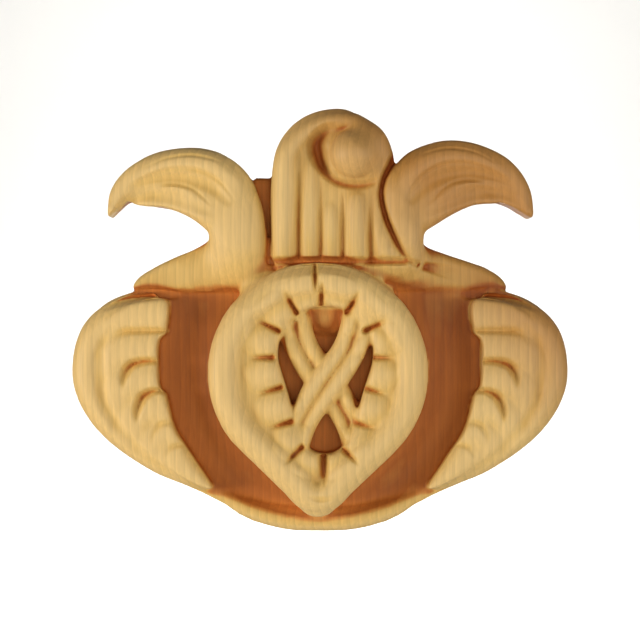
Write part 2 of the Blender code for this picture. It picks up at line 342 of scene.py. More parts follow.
class Bench:
    """Blocks out the ornament's forms, in units, face up. The forms are kept until they are joined."""

    def __init__(self, sizes):
        self.sizes = sizes
        self.unit = sizes.width / DRAWN_WIDTH
        self.forms = []

    def curve(self, name, outlines, closed):
        """Adds a curve with one spline for each outline. A third number on a point is its half width."""
        bpy.ops.object.select_all(action="DESELECT")
        bpy.ops.object.add(type="CURVE")
        form = bpy.context.object
        form.name = name
        for outline in outlines:
            spline = form.data.splines.new("POLY")
            spline.points.add(len(outline) - 1)
            for point, place in zip(spline.points, outline):
                point.co = (place[0] * self.unit, place[1] * self.unit, 0.0, 1.0)
                if len(place) > 2:
                    point.radius = place[2]
            spline.use_cyclic_u = closed
        self.forms.append(form)
        return form

    def plate(self, name, outlines, top, edge=SAWN_EDGE):
        """Wood left standing inside the outlines, up to the height top, with its upper edge rounded over."""
        edge *= self.unit
        spare = SPARE * self.unit
        form = self.curve(name, outlines, closed=True)
        form.data.dimensions = "2D"
        form.data.fill_mode = "BOTH"
        form.data.bevel_depth = edge
        form.data.bevel_resolution = 4
        form.data.offset = -edge
        form.data.extrude = (top + spare) / 2 - edge
        form.location.z = (top - spare) / 2
        return form

    def reed(self, name, knots, base, crown, closed=False):
        """A rounded ridge along a route. Its crest stands above base by crown times the half width there."""
        route = smooth(knots, closed)
        form = self.curve(name, [route if closed else round_ends(route)], closed)
        form.data.dimensions = "3D"
        form.data.twist_mode = "Z_UP"
        form.data.bevel_depth = self.unit
        form.data.bevel_resolution = 8
        form.data.use_fill_caps = True
        form.scale.z = crown
        form.location.z = base

    def egg(self, name, middle, half_length, half_width, height, base, turn=0.0):
        """A rounded lump whose long axis is turned from X, anticlockwise."""
        bpy.ops.object.select_all(action="DESELECT")
        bpy.ops.mesh.primitive_uv_sphere_add(
            segments=48, ring_count=28, radius=1.0,
            location=(middle[0] * self.unit, middle[1] * self.unit, base),
            rotation=(0.0, 0.0, turn),
            scale=(half_length * self.unit, half_width * self.unit, height * self.unit),
        )
        form = bpy.context.object
        form.name = name
        self.forms.append(form)

    def cup(self):
        """The bowl behind everything: the ground of the deep hollow beside the fruit, and its lower lip."""
        right = [
            (0, 16), (40, 12), (57, 8.5), (66.5, 4), (72.8, -4), (75, -14), (73.4, -23.5), (66.5, -34),
            (51, -45.5), (36, -52.4), (26, -57.6), (20, -61.2), (10, -63.3),
        ]
        left = mirrored(right[1:])[::-1]
        lip = [(31, -52.4, 1.5), (22, -56.8, 3.2), (11, -59.6, 3.9), (0, -60.2, 3.9)]
        web = [(24, 12), (24, 40), (22.5, 48), (10, 45), (-10, 43), (-19.6, 43.2), (-24, 36), (-24, 12)]
        ground = self.sizes.ground
        self.plate("cup", [smooth([*right, (0, -63.75), *left], closed=True)], ground)
        self.plate("web", [web], ground)
        self.reed("lip", lip + mirrored(lip[:-1])[::-1], ground - 1.5 * self.unit, 1.0)

    def flank_leaf(self, side):
        """The leaf on one flank of the cup: a broad bed for the leaflets inside a rolled border."""
        turned = mirrored if side < 0 else list
        border = [
            (49, 7.0, 1.6), (60, 3.6, 3.2), (67.6, -3.6, 4.5), (70.2, -14, 4.8), (68.4, -23.2, 4.8),
            (61.8, -32.6, 4.5), (50.4, -41.6, 3.8), (41.5, -46.4, 3.0), (33.4, -50.4, 1.6),
        ]
        bed = [
            (46.4, 6), (57, 5), (66, -2), (70, -14), (68, -24), (60, -34), (48, -43), (38, -49),
            (32.5, -50.3), (37.8, -41.8), (43.6, -32.5), (46.2, -23), (48.4, -19), (48.6, -7), (46.2, -3),
        ]
        flank = self.sizes.flank
        self.plate("flank_bed", [smooth(turned(bed), closed=True)], flank + 2.0 * self.unit)
        self.reed("flank_border", turned(border), flank - 3.4 * self.unit, 1.3)

    def collar(self, side):
        """The wedge under one curling leaf, highest beside the fruit, which runs out along the cup's top."""
        turned = mirrored if side < 0 else list
        outline = [
            (8, 9), (24, 8.6), (40, 8.4), (52, 8.4), (56.6, 9.4), (55.2, 12.7), (50.5, 15.8), (44.8, 18.6),
            (37.6, 21.6), (33.2, 24.4), (30, 28), (20, 28), (10, 20),
        ]
        top = self.sizes.collar
        if side > 0:
            outline[7:11] = [(44.8, 17.8), (37.0, 20.4), (32.0, 22.4), (28.6, 26)]
            top -= RIGHT_COLLAR_DROP * self.unit
        form = self.plate("collar", [smooth(turned(outline), closed=True)], top, edge=SOFT_EDGE)
        form.rotation_euler.y = side * COLLAR_FALL

    def curling_leaf(self, side):
        """The leaf that rises beside the scroll and curls outwards, hollow between its two edges."""
        outline = [
            (19.4, 14), (18.6, 33), (19.8, 42), (25.5, 49.6), (33, 53.2), (40, 54.2), (47.3, 53.1),
            (55.0, 49.8), (60.2, 45.2), (63.2, 40), (64.0, 35), (62.8, 31.6), (58.4, 33.6), (51, 35.2),
            (43.8, 33.6), (37.6, 30.0), (33.4, 27), (33.4, 22), (29, 14),
        ]
        upper_edge = [
            (23.4, 19, 2.2), (23.2, 30, 4.0), (25.2, 40.2, 5.0), (32.2, 47.2, 5.4), (42, 49.0, 4.9),
            (51.6, 46.6, 4.4), (58.6, 40.6, 3.4), (62.6, 33.0, 1.2),
        ]
        lower_edge = [
            (28.4, 22, 3.0), (30.4, 28.4, 3.8), (37, 34.6, 4.0), (45.4, 38.0, 3.6), (53, 38.0, 2.9),
            (57.6, 37.4, 1.6),
        ]
        if side < 0:
            outline[11:13] = [(63.8, 31.2), (60.8, 34.0), (57.4, 36.6)]
        else:
            outline[10:] = [
                (64.3, 35), (64.0, 30.9), (60.6, 32.4), (56.8, 34.6), (51, 36.0), (43.8, 34.2), (37.4, 31.4),
                (31.6, 28.6), (30.2, 25.8), (31.4, 22), (29, 14),
            ]
            lower_edge[:2] = [(26.6, 21, 2.6), (28.0, 27.4, 3.2)]
        leaf = self.sizes.leaf
        bed = smooth(leaf_side(outline, side), closed=True)
        self.plate("leaf_bed", [bed], leaf + 2.8 * self.unit, edge=SOFT_EDGE)
        self.reed("leaf_upper_edge", leaf_side(upper_edge, side), leaf - 1.4 * self.unit, 1.15)
        self.reed("leaf_lower_edge", leaf_side(lower_edge, side), leaf - 0.6 * self.unit, 1.1)
        if side < 0:
            self.egg("left_root", (-25.0, 28.0), 19.0, 8.8, 5.0, leaf + 0.2 * self.unit, math.radians(99))
        else:
            self.egg("right_root", (25.2, 30.0), 17.0, 5.6, 4.8, leaf + 0.2 * self.unit, math.radians(101))

    def scroll(self):
        """The fluted stem in the middle, which turns over at its top into a volute with a round eye."""
        dome = [
            (SCROLL_MIDDLE[0] + SCROLL_RADIUS * math.cos(math.radians(angle)),
             SCROLL_MIDDLE[1] + SCROLL_RADIUS * math.sin(math.radians(angle)))
            for angle in range(175, -26, -20)
        ]
        dome[6:9] = [(17.0, 57.2), (20.0, 52.8), (21.6, 48.2)]
        stem = [
            (18.4, 33), (21, 25), (24, 18.6), (14, 17.6), (0, 17.4), (-13.6, 18), (-14.6, 24), (-14.9, 36),
        ]
        band = [(-10.8, 15, 3.8), (-10.9, 29, 4.0), (-10.6, 40, 4.0)]
        band_start, whole_turn = 165, 285
        for angle in range(band_start, -61, -20):
            share = (band_start - angle) / whole_turn
            radius = 14.8 - 5.2 * share
            middle = [a + (b - a) * share for a, b in zip(SCROLL_MIDDLE, EYE_MIDDLE)]
            band.append((
                middle[0] + radius * math.cos(math.radians(angle)),
                middle[1] + radius * math.sin(math.radians(angle)),
                3.8 - 1.8 * share,
            ))
        flutes = [
            [(-3.1, 15, 3.2), (-3.3, 29, 3.2), (-3.2, 38, 3.0), (-2.6, 46, 2.7), (-0.4, 53, 1.9)],
            [(3.3, 15, 3.0), (3.2, 28, 2.9), (3.2, 33, 2.6), (3.2, 37, 1.9)],
            [(11.5, 15, 3.7), (11.1, 28, 3.5), (10.9, 36, 3.1), (10.8, 40, 2.2)],
            [(21.2, 15, 4.2), (18.8, 24, 3.5), (17.2, 31, 2.6), (16.8, 40, 2.0)],
        ]
        scroll = self.sizes.scroll
        bed = smooth([*dome, *stem], closed=True)
        self.plate("scroll_bed", [bed], scroll + 2.2 * self.unit, edge=SOFT_EDGE)
        self.reed("scroll_band", band, scroll - 0.8 * self.unit, 1.4)
        self.egg("scroll_eye", EYE_MIDDLE, EYE_RADIUS, EYE_RADIUS, 8.5, scroll + 0.6 * self.unit)
        self.egg("scroll_shoulder", (12.6, 52.6), 8.0, 7.4, 6.0, scroll + 0.2 * self.unit, math.radians(40))
        self.plate("scroll_foot", [[(-13, 12), (24, 12), (24, 19), (-13, 19)]], scroll + 2.2 * self.unit)
        for flute in flutes:
            self.reed("flute", flute, scroll - 0.4 * self.unit, 1.3)

    def fruit(self):
        """The boss: a split fruit with a broad rolled rim, a border of petals and a deep opening."""
        outline = drop(FRUIT_MIDDLE, FRUIT_RADIUS, FRUIT_TIP_MIDDLE, FRUIT_TIP_RADIUS)
        opening = drop(OPENING_MIDDLE, OPENING_RADIUS, OPENING_FOOT_MIDDLE, OPENING_FOOT_RADIUS)
        rim = drop(
            FRUIT_MIDDLE, FRUIT_RADIUS - RIM_HALF_WIDTH, FRUIT_TIP_MIDDLE, FRUIT_TIP_RADIUS - RIM_HALF_WIDTH)
        rim_knots = [(x, y, RIM_HALF_WIDTH) for x, y, along in evenly(rim, ARC_STEPS)]
        fruit = self.sizes.fruit
        self.plate("fruit_wall", [outline, opening[::-1]], fruit + PETAL_RISE * self.unit, edge=SOFT_EDGE)
        self.plate("opening_floor", [outline], self.sizes.opening)
        self.reed("fruit_rim", rim_knots, fruit + 0.5 * self.unit, 1.05, closed=True)

    def lattice(self):
        """The opening's two reeded straps, crossed with the rising one on top, and its sloping head."""
        strap = [
            (-10.6, -23.0, 0.74), (-7.0, -11.5, 0.76), (0.0, 0.0, 1.0), (7.6, 11.5, 0.85), (10.8, 25.0, 0.8),
        ]
        opening = self.sizes.opening
        for side, base in ((1, opening + 5.4 * self.unit), (-1, opening + 3.8 * self.unit)):
            for offset in (-STRAP_REED_SPREAD, STRAP_REED_SPREAD):
                route = [
                    (STRAP_MIDDLE[0] + side * x + offset * share, STRAP_MIDDLE[1] + y,
                     STRAP_REED_HALF_WIDTH * share)
                    for x, y, share in strap
                ]
                self.reed("strap_reed", route, base, 1.35)
            core = [
                (STRAP_MIDDLE[0] + side * x, STRAP_MIDDLE[1] + y, STRAP_CORE_HALF_WIDTH * share)
                for x, y, share in strap
            ]
            self.reed("strap_core", core, base, 0.45)
        self.egg("opening_slope", (2.2, 12.0), 14.0, 17.0, 6.4, opening - 0.6 * self.unit)

    def join(self):
        """Turns every form into mesh, makes them one object and fuses that into one carved surface."""
        bpy.ops.object.select_all(action="DESELECT")
        for form in self.forms:
            form.select_set(True)
        bpy.context.view_layer.objects.active = self.forms[0]
        bpy.ops.object.convert(target="MESH")
        bpy.ops.object.join()
        bpy.ops.object.transform_apply(location=True, rotation=True, scale=True)
        block = bpy.context.object
        block.name = "carved_centrepiece"
        fuse = block.modifiers.new("fuse", "REMESH")
        fuse.mode = "VOXEL"
        fuse.voxel_size = self.sizes.detail
        fuse.adaptivity = 0.0
        ease = block.modifiers.new("ease", "SMOOTH")
        ease.factor = 0.5
        ease.iterations = 6
        stray = block.modifiers.new("stray", "DISPLACE")
        stray.texture = bpy.data.textures.new("stray", "CLOUDS")
        stray.texture.noise_scale = STRAY_LENGTH * self.unit
        stray.strength = 2 * self.sizes.hand
        for modifier in ("fuse", "ease", "stray"):
            bpy.ops.object.modifier_apply(modifier=modifier)
        return block


def leaf_side(knots, side):
    """A curling leaf's knots on the side asked for. The left leaf rises a little less."""
    if side > 0:
        return knots
    lowered = []
    for x, y, *more in knots:
        rise = LEFT_LEAF_RISE if y > LEAF_FOOT else 1.0
        lowered.append((-x, LEAF_FOOT + (y - LEAF_FOOT) * rise, *more))
    return lowered


def petal_places(start=0.5):
    """Where the petals lie round the fruit's opening, with the opening's direction there."""
    middle_x = (FRUIT_MIDDLE[0] + OPENING_MIDDLE[0]) / 2
    reach = PETAL_HALF_LENGTH - 0.5
    ring = drop(
        (middle_x, OPENING_MIDDLE[1]), OPENING_RADIUS + reach,
        (middle_x, OPENING_FOOT_MIDDLE[1]), OPENING_FOOT_RADIUS + reach)
    return evenly(ring, PETAL_COUNT, start)


def outwards(place, reach):
    """The point at reach from a place on the petals' ring, away from the opening."""
    x, y, along = place
    return x + reach * math.sin(along), y - reach * math.cos(along)


def point_values(mesh, name):
    """The places or normals of a mesh's points, a row for each."""
    values = np.empty(len(mesh.vertices) * 3, np.float32)
    mesh.vertices.foreach_get(name, values)
    return values.reshape(-1, 3)


def edge_ends(mesh):
    """The points at the first and the second end of each of a mesh's edges."""
    ends = np.empty(len(mesh.edges) * 2, np.int32)
    mesh.edges.foreach_get("vertices", ends)
    return ends.reshape(-1, 2).T


# A stroke's section, from its middle at 0 to its edge at 1
PROFILES = {
    "v": lambda share: 1.0 - share,
    "dome": lambda share: 1.0 - share ** 2,
    "soft": lambda share: (1.0 - share ** 2) ** 2,
}


class Chisel:
    """Moves the carved surface's points as tools would: cuts go down, and mounds stand up."""

    def __init__(self, block, unit):
        self.mesh = block.data
        self.unit = unit
        self.places = point_values(self.mesh, "co").astype(float) / unit
        up = point_values(self.mesh, "normal")[:, 2]
        # Walls stay as they are, and steep slopes are cut less than level wood
        self.faces_up = np.clip((up - 0.1) / 0.5, 0.0, 1.0)

    def stroke(self, knots, profile, floor=0.2):
        """Cuts along (x, y, half width, depth) knots, not below floor. A depth under 0 raises the wood."""
        route = np.array(smooth(knots))
        reach = route[:, 2].max()
        low = route[:, :2].min(0) - reach
        high = route[:, :2].max(0) + reach
        flat = self.places[:, :2]
        near = np.flatnonzero(((flat > low) & (flat < high)).all(1) & (self.places[:, 2] > floor))
        if len(near) == 0:
            return
        points = flat[near]
        best = np.full(len(near), np.inf)
        width = np.ones(len(near))
        depth = np.zeros(len(near))
        for a, b in zip(route, route[1:]):
            along = b[:2] - a[:2]
            length = max(float(along @ along), 1e-9)
            share = np.clip(((points - a[:2]) @ along) / length, 0.0, 1.0)
            away = np.hypot(*(points - a[:2] - share[:, None] * along).T)
            closer = away < best
            best[closer] = away[closer]
            width[closer] = (a[2] + (b[2] - a[2]) * share)[closer]
            depth[closer] = (a[3] + (b[3] - a[3]) * share)[closer]
        share = np.clip(best / np.maximum(width, 1e-6), 0.0, 1.0)
        before = self.places[near, 2]
        after = before - PROFILES[profile](share) * depth * self.faces_up[near]
        self.places[near, 2] = np.maximum(after, floor)

    def fall(self, start, end, amount, floor):
        """Lets the wood above floor fall away towards both sides, by up to amount from start out to end."""
        share = np.clip((np.abs(self.places[:, 0]) - start) / (end - start), 0.0, 1.0)
        above = np.clip((self.places[:, 2] - floor) / (1.5 * amount), 0.0, 1.0)
        self.places[:, 2] -= amount * share * above

    def both(self, knots, profile, floor=0.2):
        """The same stroke on both sides of the middle line."""
        self.stroke(knots, profile, floor=floor)
        self.stroke(mirrored(knots), profile, floor=floor)

    def rub(self, spots, passes):
        """Sands round spots of (x, y, radius), so that the forms there run into each other."""
        amount = np.zeros(len(self.places))
        for x, y, radius in spots:
            away = np.hypot(self.places[:, 0] - x, self.places[:, 1] - y) / radius
            amount = np.maximum(amount, np.clip(1.0 - away ** 2, 0.0, 1.0))
        amount[self.places[:, 2] < RUBBED_ABOVE] = 0.0
        a, b = edge_ends(self.mesh)
        touched = (amount[a] > 0) | (amount[b] > 0)
        a, b = a[touched], b[touched]
        count = len(self.places)
        near = np.maximum(np.bincount(a, minlength=count) + np.bincount(b, minlength=count), 1)
        for _ in range(passes):
            for axis in range(3):
                line = self.places[:, axis]
                mean = (np.bincount(a, line[b], count) + np.bincount(b, line[a], count)) / near
                line += amount * (mean - line)

    def done(self):
        """Eases the highest crests down, and writes the points to the mesh."""
        over = np.maximum(self.places[:, 2] - CREST_HEIGHT, 0.0)
        self.places[:, 2] -= over * (1.0 - CREST_SHARE)
        self.places[:, 2] = np.maximum(self.places[:, 2], 0.0)
        self.mesh.vertices.foreach_set("co", (self.places * self.unit).astype(np.float32).ravel())
        self.mesh.update()


def carve_flank_leaves(chisel):
    """The leaflets' swellings, the curved cuts between them and the groove inside the rolled border."""
    leaflets = [
        [(65, -7, 4.0, -0.3), (61.5, -0.5, 5.0, -0.9), (56, 1.6, 5.2, -1.1), (46, 1.6, 5.2, -1.1)],
        [(65, -18, 4.0, -0.3), (62.5, -11.5, 4.8, -0.9), (57, -8.6, 5.4, -1.1), (47, -8.6, 5.4, -1.1)],
        [(63, -27, 4.0, -0.3), (60.5, -21.0, 4.8, -0.9), (55, -18.0, 5.0, -1.1), (46, -18.0, 5.0, -1.1)],
        [(57, -35.5, 4.0, -0.3), (56, -29.8, 4.8, -0.9), (52, -26.6, 5.0, -1.1), (44.6, -26.4, 5.0, -1.1)],
        [(50, -41.5, 4.0, -0.3), (50.4, -37.0, 4.4, -0.8), (47, -34.0, 4.4, -0.9), (41, -33.6, 4.2, -0.9)],
        [(36, -48.6, 2.4, -0.3), (41, -44.6, 4.0, -0.8), (44, -41.0, 4.2, -0.8)],
    ]
    for leaflet in leaflets:
        chisel.both(leaflet, "dome", floor=BED_FLOOR)
    border_groove = [
        (62, -2.4, 2.0, 0.2), (65.4, -9, 2.6, 0.7), (65, -24, 2.8, 0.8), (60, -33, 2.6, 0.7),
        (50.7, -42.7, 2.4, 0.5), (44, -47.6, 1.6, 0.2),
    ]
    chisel.both(border_groove, "soft", floor=BED_FLOOR)
    cuts = [
        [(45.5, -3.2, 1.2, 1.1), (52.6, -3.2, 1.4, 0.9), (59.4, -3.6, 1.6, 0.8), (62, -6.2, 1.4, 0.2)],
        [(46.5, -12.6, 1.3, 1.6), (51.4, -12.2, 1.4, 1.7), (56.2, -13.2, 1.8, 2.1), (58.6, -16.4, 1.8, 1.8),
         (59.0, -20.4, 1.0, 0.2)],
        [(45.4, -21.4, 1.3, 1.7), (49.6, -21.2, 1.4, 1.8), (53.0, -23.0, 1.9, 2.4), (54.8, -26.8, 1.9, 2.0),
         (55.0, -30.8, 1.0, 0.2)],
        [(43.4, -30.6, 1.2, 0.6), (47.4, -31, 1.3, 0.7), (49.8, -34, 1.3, 0.6), (50.2, -37.2, 0.9, 0.1)],
        [(40.0, -37.0, 1.0, 0.4), (44.2, -38.0, 1.1, 0.5), (46.4, -41.0, 0.9, 0.1)],
    ]
    for cut in cuts:
        chisel.both(cut, "v", floor=BED_FLOOR)


def carve_collar(chisel):
    """The soft joins beside the fruit, the grooves above the flank leaves and one along the right side."""
    joins = [(-22, 12, 9.0), (-30, 13, 9.0), (-35, 19, 8.0), (24, 14, 8.0), (31, 14, 9.0), (35, 20, 8.0)]
    chisel.rub(joins, LONG_RUB)
    chisel.both([(44, 7.8, 1.6, 1.8), (50, 7.8, 2.3, 3.4), (56, 7.0, 2.3, 3.2), (61, 5.0, 1.5, 1.6),
                 (65, 3.0, 0.9, 0.2)], "soft", floor=CUP_FLOOR)
    chisel.stroke([(26.6, 17.8, 1.0, 0.4), (30, 16.6, 1.7, 1.6), (38, 14.8, 2.2, 2.2), (46, 12.8, 2.2, 2.0),
                   (53, 11.0, 1.4, 0.4)], "soft", floor=GROOVE_FLOOR)


def carve_curling_leaves(chisel):
    """The hollow between each curling leaf's edges, its undercut lower side, and a few veins along it."""
    hollow = [
        (27.6, 36, 2.0, 0.4), (34, 42, 3.0, 0.9), (44, 44, 3.2, 1.1), (53, 42.4, 2.8, 1.0),
        (59, 38, 1.8, 0.3),
    ]
    underside = [
        (33, 32.4, 2.0, 0.2), (38, 34.6, 3.0, 1.2), (44, 37.2, 3.6, 2.0), (51, 38.4, 3.6, 2.2),
        (57, 37.0, 2.6, 1.4), (61, 34.0, 1.4, 0.2),
    ]
    veins = [
        [(25.4, 36, 0.7, 0.1), (30, 42.6, 0.9, 0.5), (37, 46.6, 1.0, 0.6), (46, 46.8, 0.9, 0.5),
         (55, 43, 0.7, 0.1)],
        [(33, 35, 0.7, 0.1), (38, 40.2, 0.9, 0.5), (45, 42.0, 1.0, 0.5), (54, 40.4, 0.7, 0.1)],
        [(30, 49.4, 0.7, 0.1), (38, 51.4, 0.8, 0.4), (46, 50.4, 0.7, 0.3), (52, 47.6, 0.6, 0.1)],
    ]
    chisel.rub([(-30, 36, 8.0), (-35, 41, 6.0), (30, 36, 8.0), (35, 41, 6.0), (22, 34, 4.0)], RUB)
    for side in (-1, 1):
        chisel.stroke(leaf_side(hollow, side), "soft", floor=LEAF_FLOOR)
        chisel.stroke(leaf_side(underside, side), "soft", floor=GROOVE_FLOOR)
        for vein in veins:
            chisel.stroke(leaf_side(vein, side), "soft", floor=LEAF_FLOOR)


def carve_scroll(chisel):
    """The lines between the scroll's reeds and along its foot, and the deep grooves by leaf and eye."""
    lines = ((-6.5, 49.0, 0.9), (0.1, 44.0, 1.0), (6.8, 38.5, 1.3), (15.2, 39.0, 0.9))
    for x, high, depth in lines:
        halfway = (FOOT_LINE + high) / 2
        chisel.stroke([(x, FOOT_LINE, 0.9, depth), (x, halfway, 1.0, depth), (x + 0.2, high, 0.8, 0.2)],
                      "v", floor=BED_FLOOR)
    chisel.stroke([(-15.0, FOOT_LINE, 1.6, 2.2), (4.0, FOOT_LINE, 1.6, 2.2), (25.4, FOOT_LINE, 1.6, 1.8)],
                  "soft", floor=BED_FLOOR)
    chisel.rub([(14.5, 56.5, 6.0), (18.0, 51.0, 5.0), (16.6, 45.6, 4.0)], RUB)
    beside_leaf = [
        (22.6, 50.0, 1.5, 3.0), (21.0, 46.6, 1.7, 3.4), (19.0, 42.0, 1.5, 2.6), (18.4, 37.0, 1.4, 2.3),
        (19.8, 31.0, 1.4, 2.2), (22.4, 25.0, 1.4, 2.0), (25.2, 19.6, 1.2, 1.4), (27.4, 17.6, 0.9, 0.6),
    ]
    round_eye = [
        (4.6, 58.6, 1.6, 0.2), (1.4, 56.8, 2.6, 1.8), (-0.8, 53.4, 3.4, 3.6), (-0.6, 49.6, 3.4, 4.2),
        (0.8, 46.0, 2.6, 3.4), (3.4, 42.6, 1.8, 1.8), (7.4, 40.8, 1.7, 1.5), (13, 40.6, 1.7, 1.3),
        (17.4, 42.0, 1.4, 0.4),
    ]
    for groove in (beside_leaf, round_eye):
        chisel.stroke(groove, "soft", floor=GROOVE_FLOOR)


def carve_fruit(chisel):
    """The petals and the cuts between them, the fruit's dipped head, and the splits at both its ends."""
    chisel.rub([(14.0, 1.6, 4.2), (-10.0, 1.2, 4.2), (-8.0, -34.0, 4.0), (11.6, -33.6, 4.0)], SHORT_RUB)
    for place in petal_places():
        reach = PETAL_LONG_REACH if place[1] > PETAL_LONG_ABOVE else PETAL_SHORT_REACH
        chisel.stroke([
            (*outwards(place, -6.0), 4.2, -1.0),
            (*outwards(place, -2.0), PETAL_HALF_WIDTH - 0.4, -1.5),
            (*outwards(place, reach), PETAL_HALF_WIDTH - 0.6, -0.8),
            (*outwards(place, reach + 1.6), 3.0, 0.0),
        ], "dome", floor=PETAL_FLOOR)
    for place in petal_places(start=0.0):
        chisel.stroke([
            (*outwards(place, -4.8), 1.3, 2.6), (*outwards(place, -2.5), 1.1, 1.9),
            (*outwards(place, 2.0), 0.7, 0.2),
        ], "v", floor=PETAL_FLOOR)
    head_dip = [(-14, 13.4, 2.4, 0.3), (-6, 15.8, 3.2, 1.3), (4, 16.2, 3.2, 1.5), (13, 13.6, 2.4, 0.3)]
    top_split = [(-1.6, 16.4, 0.9, 1.6), (-1.6, 13, 1.1, 2.4), (-1.5, 8.0, 0.6, 0.3)]
    bottom_split = [(1.5, -38.6, 1.4, 2.8), (1.5, -43, 1.3, 2.8), (1.4, -49.0, 0.6, 0.4)]
    tip_fold = [(-3.6, -52.6, 0.8, 0.1), (0.4, -53.2, 1.4, 0.8), (4.4, -52.6, 0.8, 0.1)]
    chisel.stroke(head_dip, "soft", floor=BED_FLOOR)
    chisel.stroke(top_split, "v", floor=SPLIT_FLOOR)
    chisel.stroke(bottom_split, "v", floor=BED_FLOOR)
    chisel.stroke(tip_fold, "soft", floor=BED_FLOOR)


def carve_cup(chisel):
    """The deep hollows of the cup on both sides of the fruit."""
    chisel.both([(38, 6, 8.0, 0.6), (39.6, -8, 8.0, 1.4), (39.4, -22, 8.0, 1.8), (34, -38, 8.0, 1.8),
                 (23, -50, 7.0, 1.4), (10, -57, 4.0, 0.4)], "soft")


def flatten_back(block, width):
    """Saws the back off flat against the bench."""
    bpy.ops.object.select_all(action="DESELECT")
    bpy.ops.mesh.primitive_cube_add(size=2 * width, location=(0.0, 0.0, -width))
    bench = bpy.context.object
    bpy.ops.object.select_all(action="DESELECT")
    block.select_set(True)
    bpy.context.view_layer.objects.active = block
    saw = block.modifiers.new("saw", "BOOLEAN")
    saw.operation = "DIFFERENCE"
    saw.solver = "MANIFOLD"
    saw.object = bench
    bpy.ops.object.modifier_apply(modifier="saw")
    bpy.data.objects.remove(bench)


def thin_out(block):
    """Leaves out points where the surface is plain, to keep the piece within the triangles it may have."""
    triangles = sum(len(face.vertices) - 2 for face in block.data.polygons)
    thin = block.modifiers.new("thin", "DECIMATE")
    thin.ratio = min(1.0, KEPT_TRIANGLES / triangles)
    bpy.ops.object.modifier_apply(modifier="thin")


def check_closed(block):
    """Stops the work if the carved surface has an open edge or more triangles than it may have."""
    mesh = block.data
    edges = np.empty(len(mesh.loops), np.int32)
    mesh.loops.foreach_get("edge_index", edges)
    shared = np.bincount(edges, minlength=len(mesh.edges))
    if (shared != 2).any():
        raise RuntimeError("The carved surface isn't closed")
    triangles = sum(len(face.vertices) - 2 for face in mesh.polygons)
    if triangles > MOST_TRIANGLES:
        raise RuntimeError("The carved surface has too many triangles")


def stand_up(block):
    """Turns the bench's frame into the frame's own: back to +Y, carved face to -Y, top to +Z."""
    block.rotation_euler = (math.radians(90), 0.0, 0.0)
    bpy.ops.object.transform_apply(location=True, rotation=True, scale=True)


def paint_hollow_shade(block, unit):
    """Notes on each point how far its surroundings close it in, as the amount of painted shade that darkens
    and warms the wood's colour there.

    From every point the skyline is read in a ring of directions, over a grid of the carving's heights.
    """
    mesh = block.data
    count = len(mesh.vertices)
    x, y, z = point_values(mesh, "co").astype(float).T / unit
    normals = point_values(mesh, "normal")
    middle = DRAWN_WIDTH / 2 + SKYLINE_REACH[-1] + GRID_MARGIN
    side = int(2 * middle / HEIGHT_CELL) + 1
    grid = np.zeros((side, side))
    column = ((x + middle) / HEIGHT_CELL).astype(int)
    row = ((z + middle) / HEIGHT_CELL).astype(int)
    np.maximum.at(grid, (column, row), -y)
    painted_shade = np.zeros(count)
    looked = np.zeros(count)
    for step in range(SKYLINE_DIRECTIONS):
        turn = 2 * math.pi * step / SKYLINE_DIRECTIONS
        across, up = math.cos(turn), math.sin(turn)
        facing = normals[:, 0] * across + normals[:, 2] * up - OUTWARD_WEIGHT * normals[:, 1]
        weight = np.clip(facing, 0.0, 1.0)
        steepest = np.zeros(count)
        for reach in SKYLINE_REACH:
            column = ((x + middle + reach * across) / HEIGHT_CELL).astype(int)
            row = ((z + middle + reach * up) / HEIGHT_CELL).astype(int)
            np.maximum(steepest, (grid[column, row] + y) / reach, out=steepest)
        painted_shade += weight * steepest ** 2 / (1.0 + steepest ** 2)
        looked += weight
    painted_shade /= np.maximum(looked, 0.001)
    # Low points that are already closed in get extra painted shade
    low = np.clip((DEEP_BELOW + y) / DEEP_BAND, 0.0, 1.0)
    painted_shade += DEEP_SHARE * low * np.clip(painted_shade / DEEP_SHARE, 0.0, 1.0)
    a, b = edge_ends(mesh)
    near = np.bincount(a, minlength=count) + np.bincount(b, minlength=count)
    for _ in range(HOLLOW_SMOOTHING):
        total = np.bincount(a, painted_shade[b], count) + np.bincount(b, painted_shade[a], count)
        painted_shade = (painted_shade + total / near) / 2
    # The sawn back gets no painted shade
    painted_shade[-y < BACK_BAND] = 0.0
    # The hollow attribute carries the painted shade to the material
    hollow = mesh.attributes.new("hollow", "FLOAT", "POINT")
    hollow.data.foreach_set("value", painted_shade.astype(np.float32))


def add_node(tree, kind, settings, inputs):
    """Adds one shader node. An input is given a value, or another node's output to read from."""
    node = tree.nodes.new(kind)
    for name, value in settings.items():
        setattr(node, name, value)
    for name, value in inputs.items():
        if isinstance(value, bpy.types.NodeSocket):
            tree.links.new(value, node.inputs[name])
        else:
            node.inputs[name].default_value = value
    return node


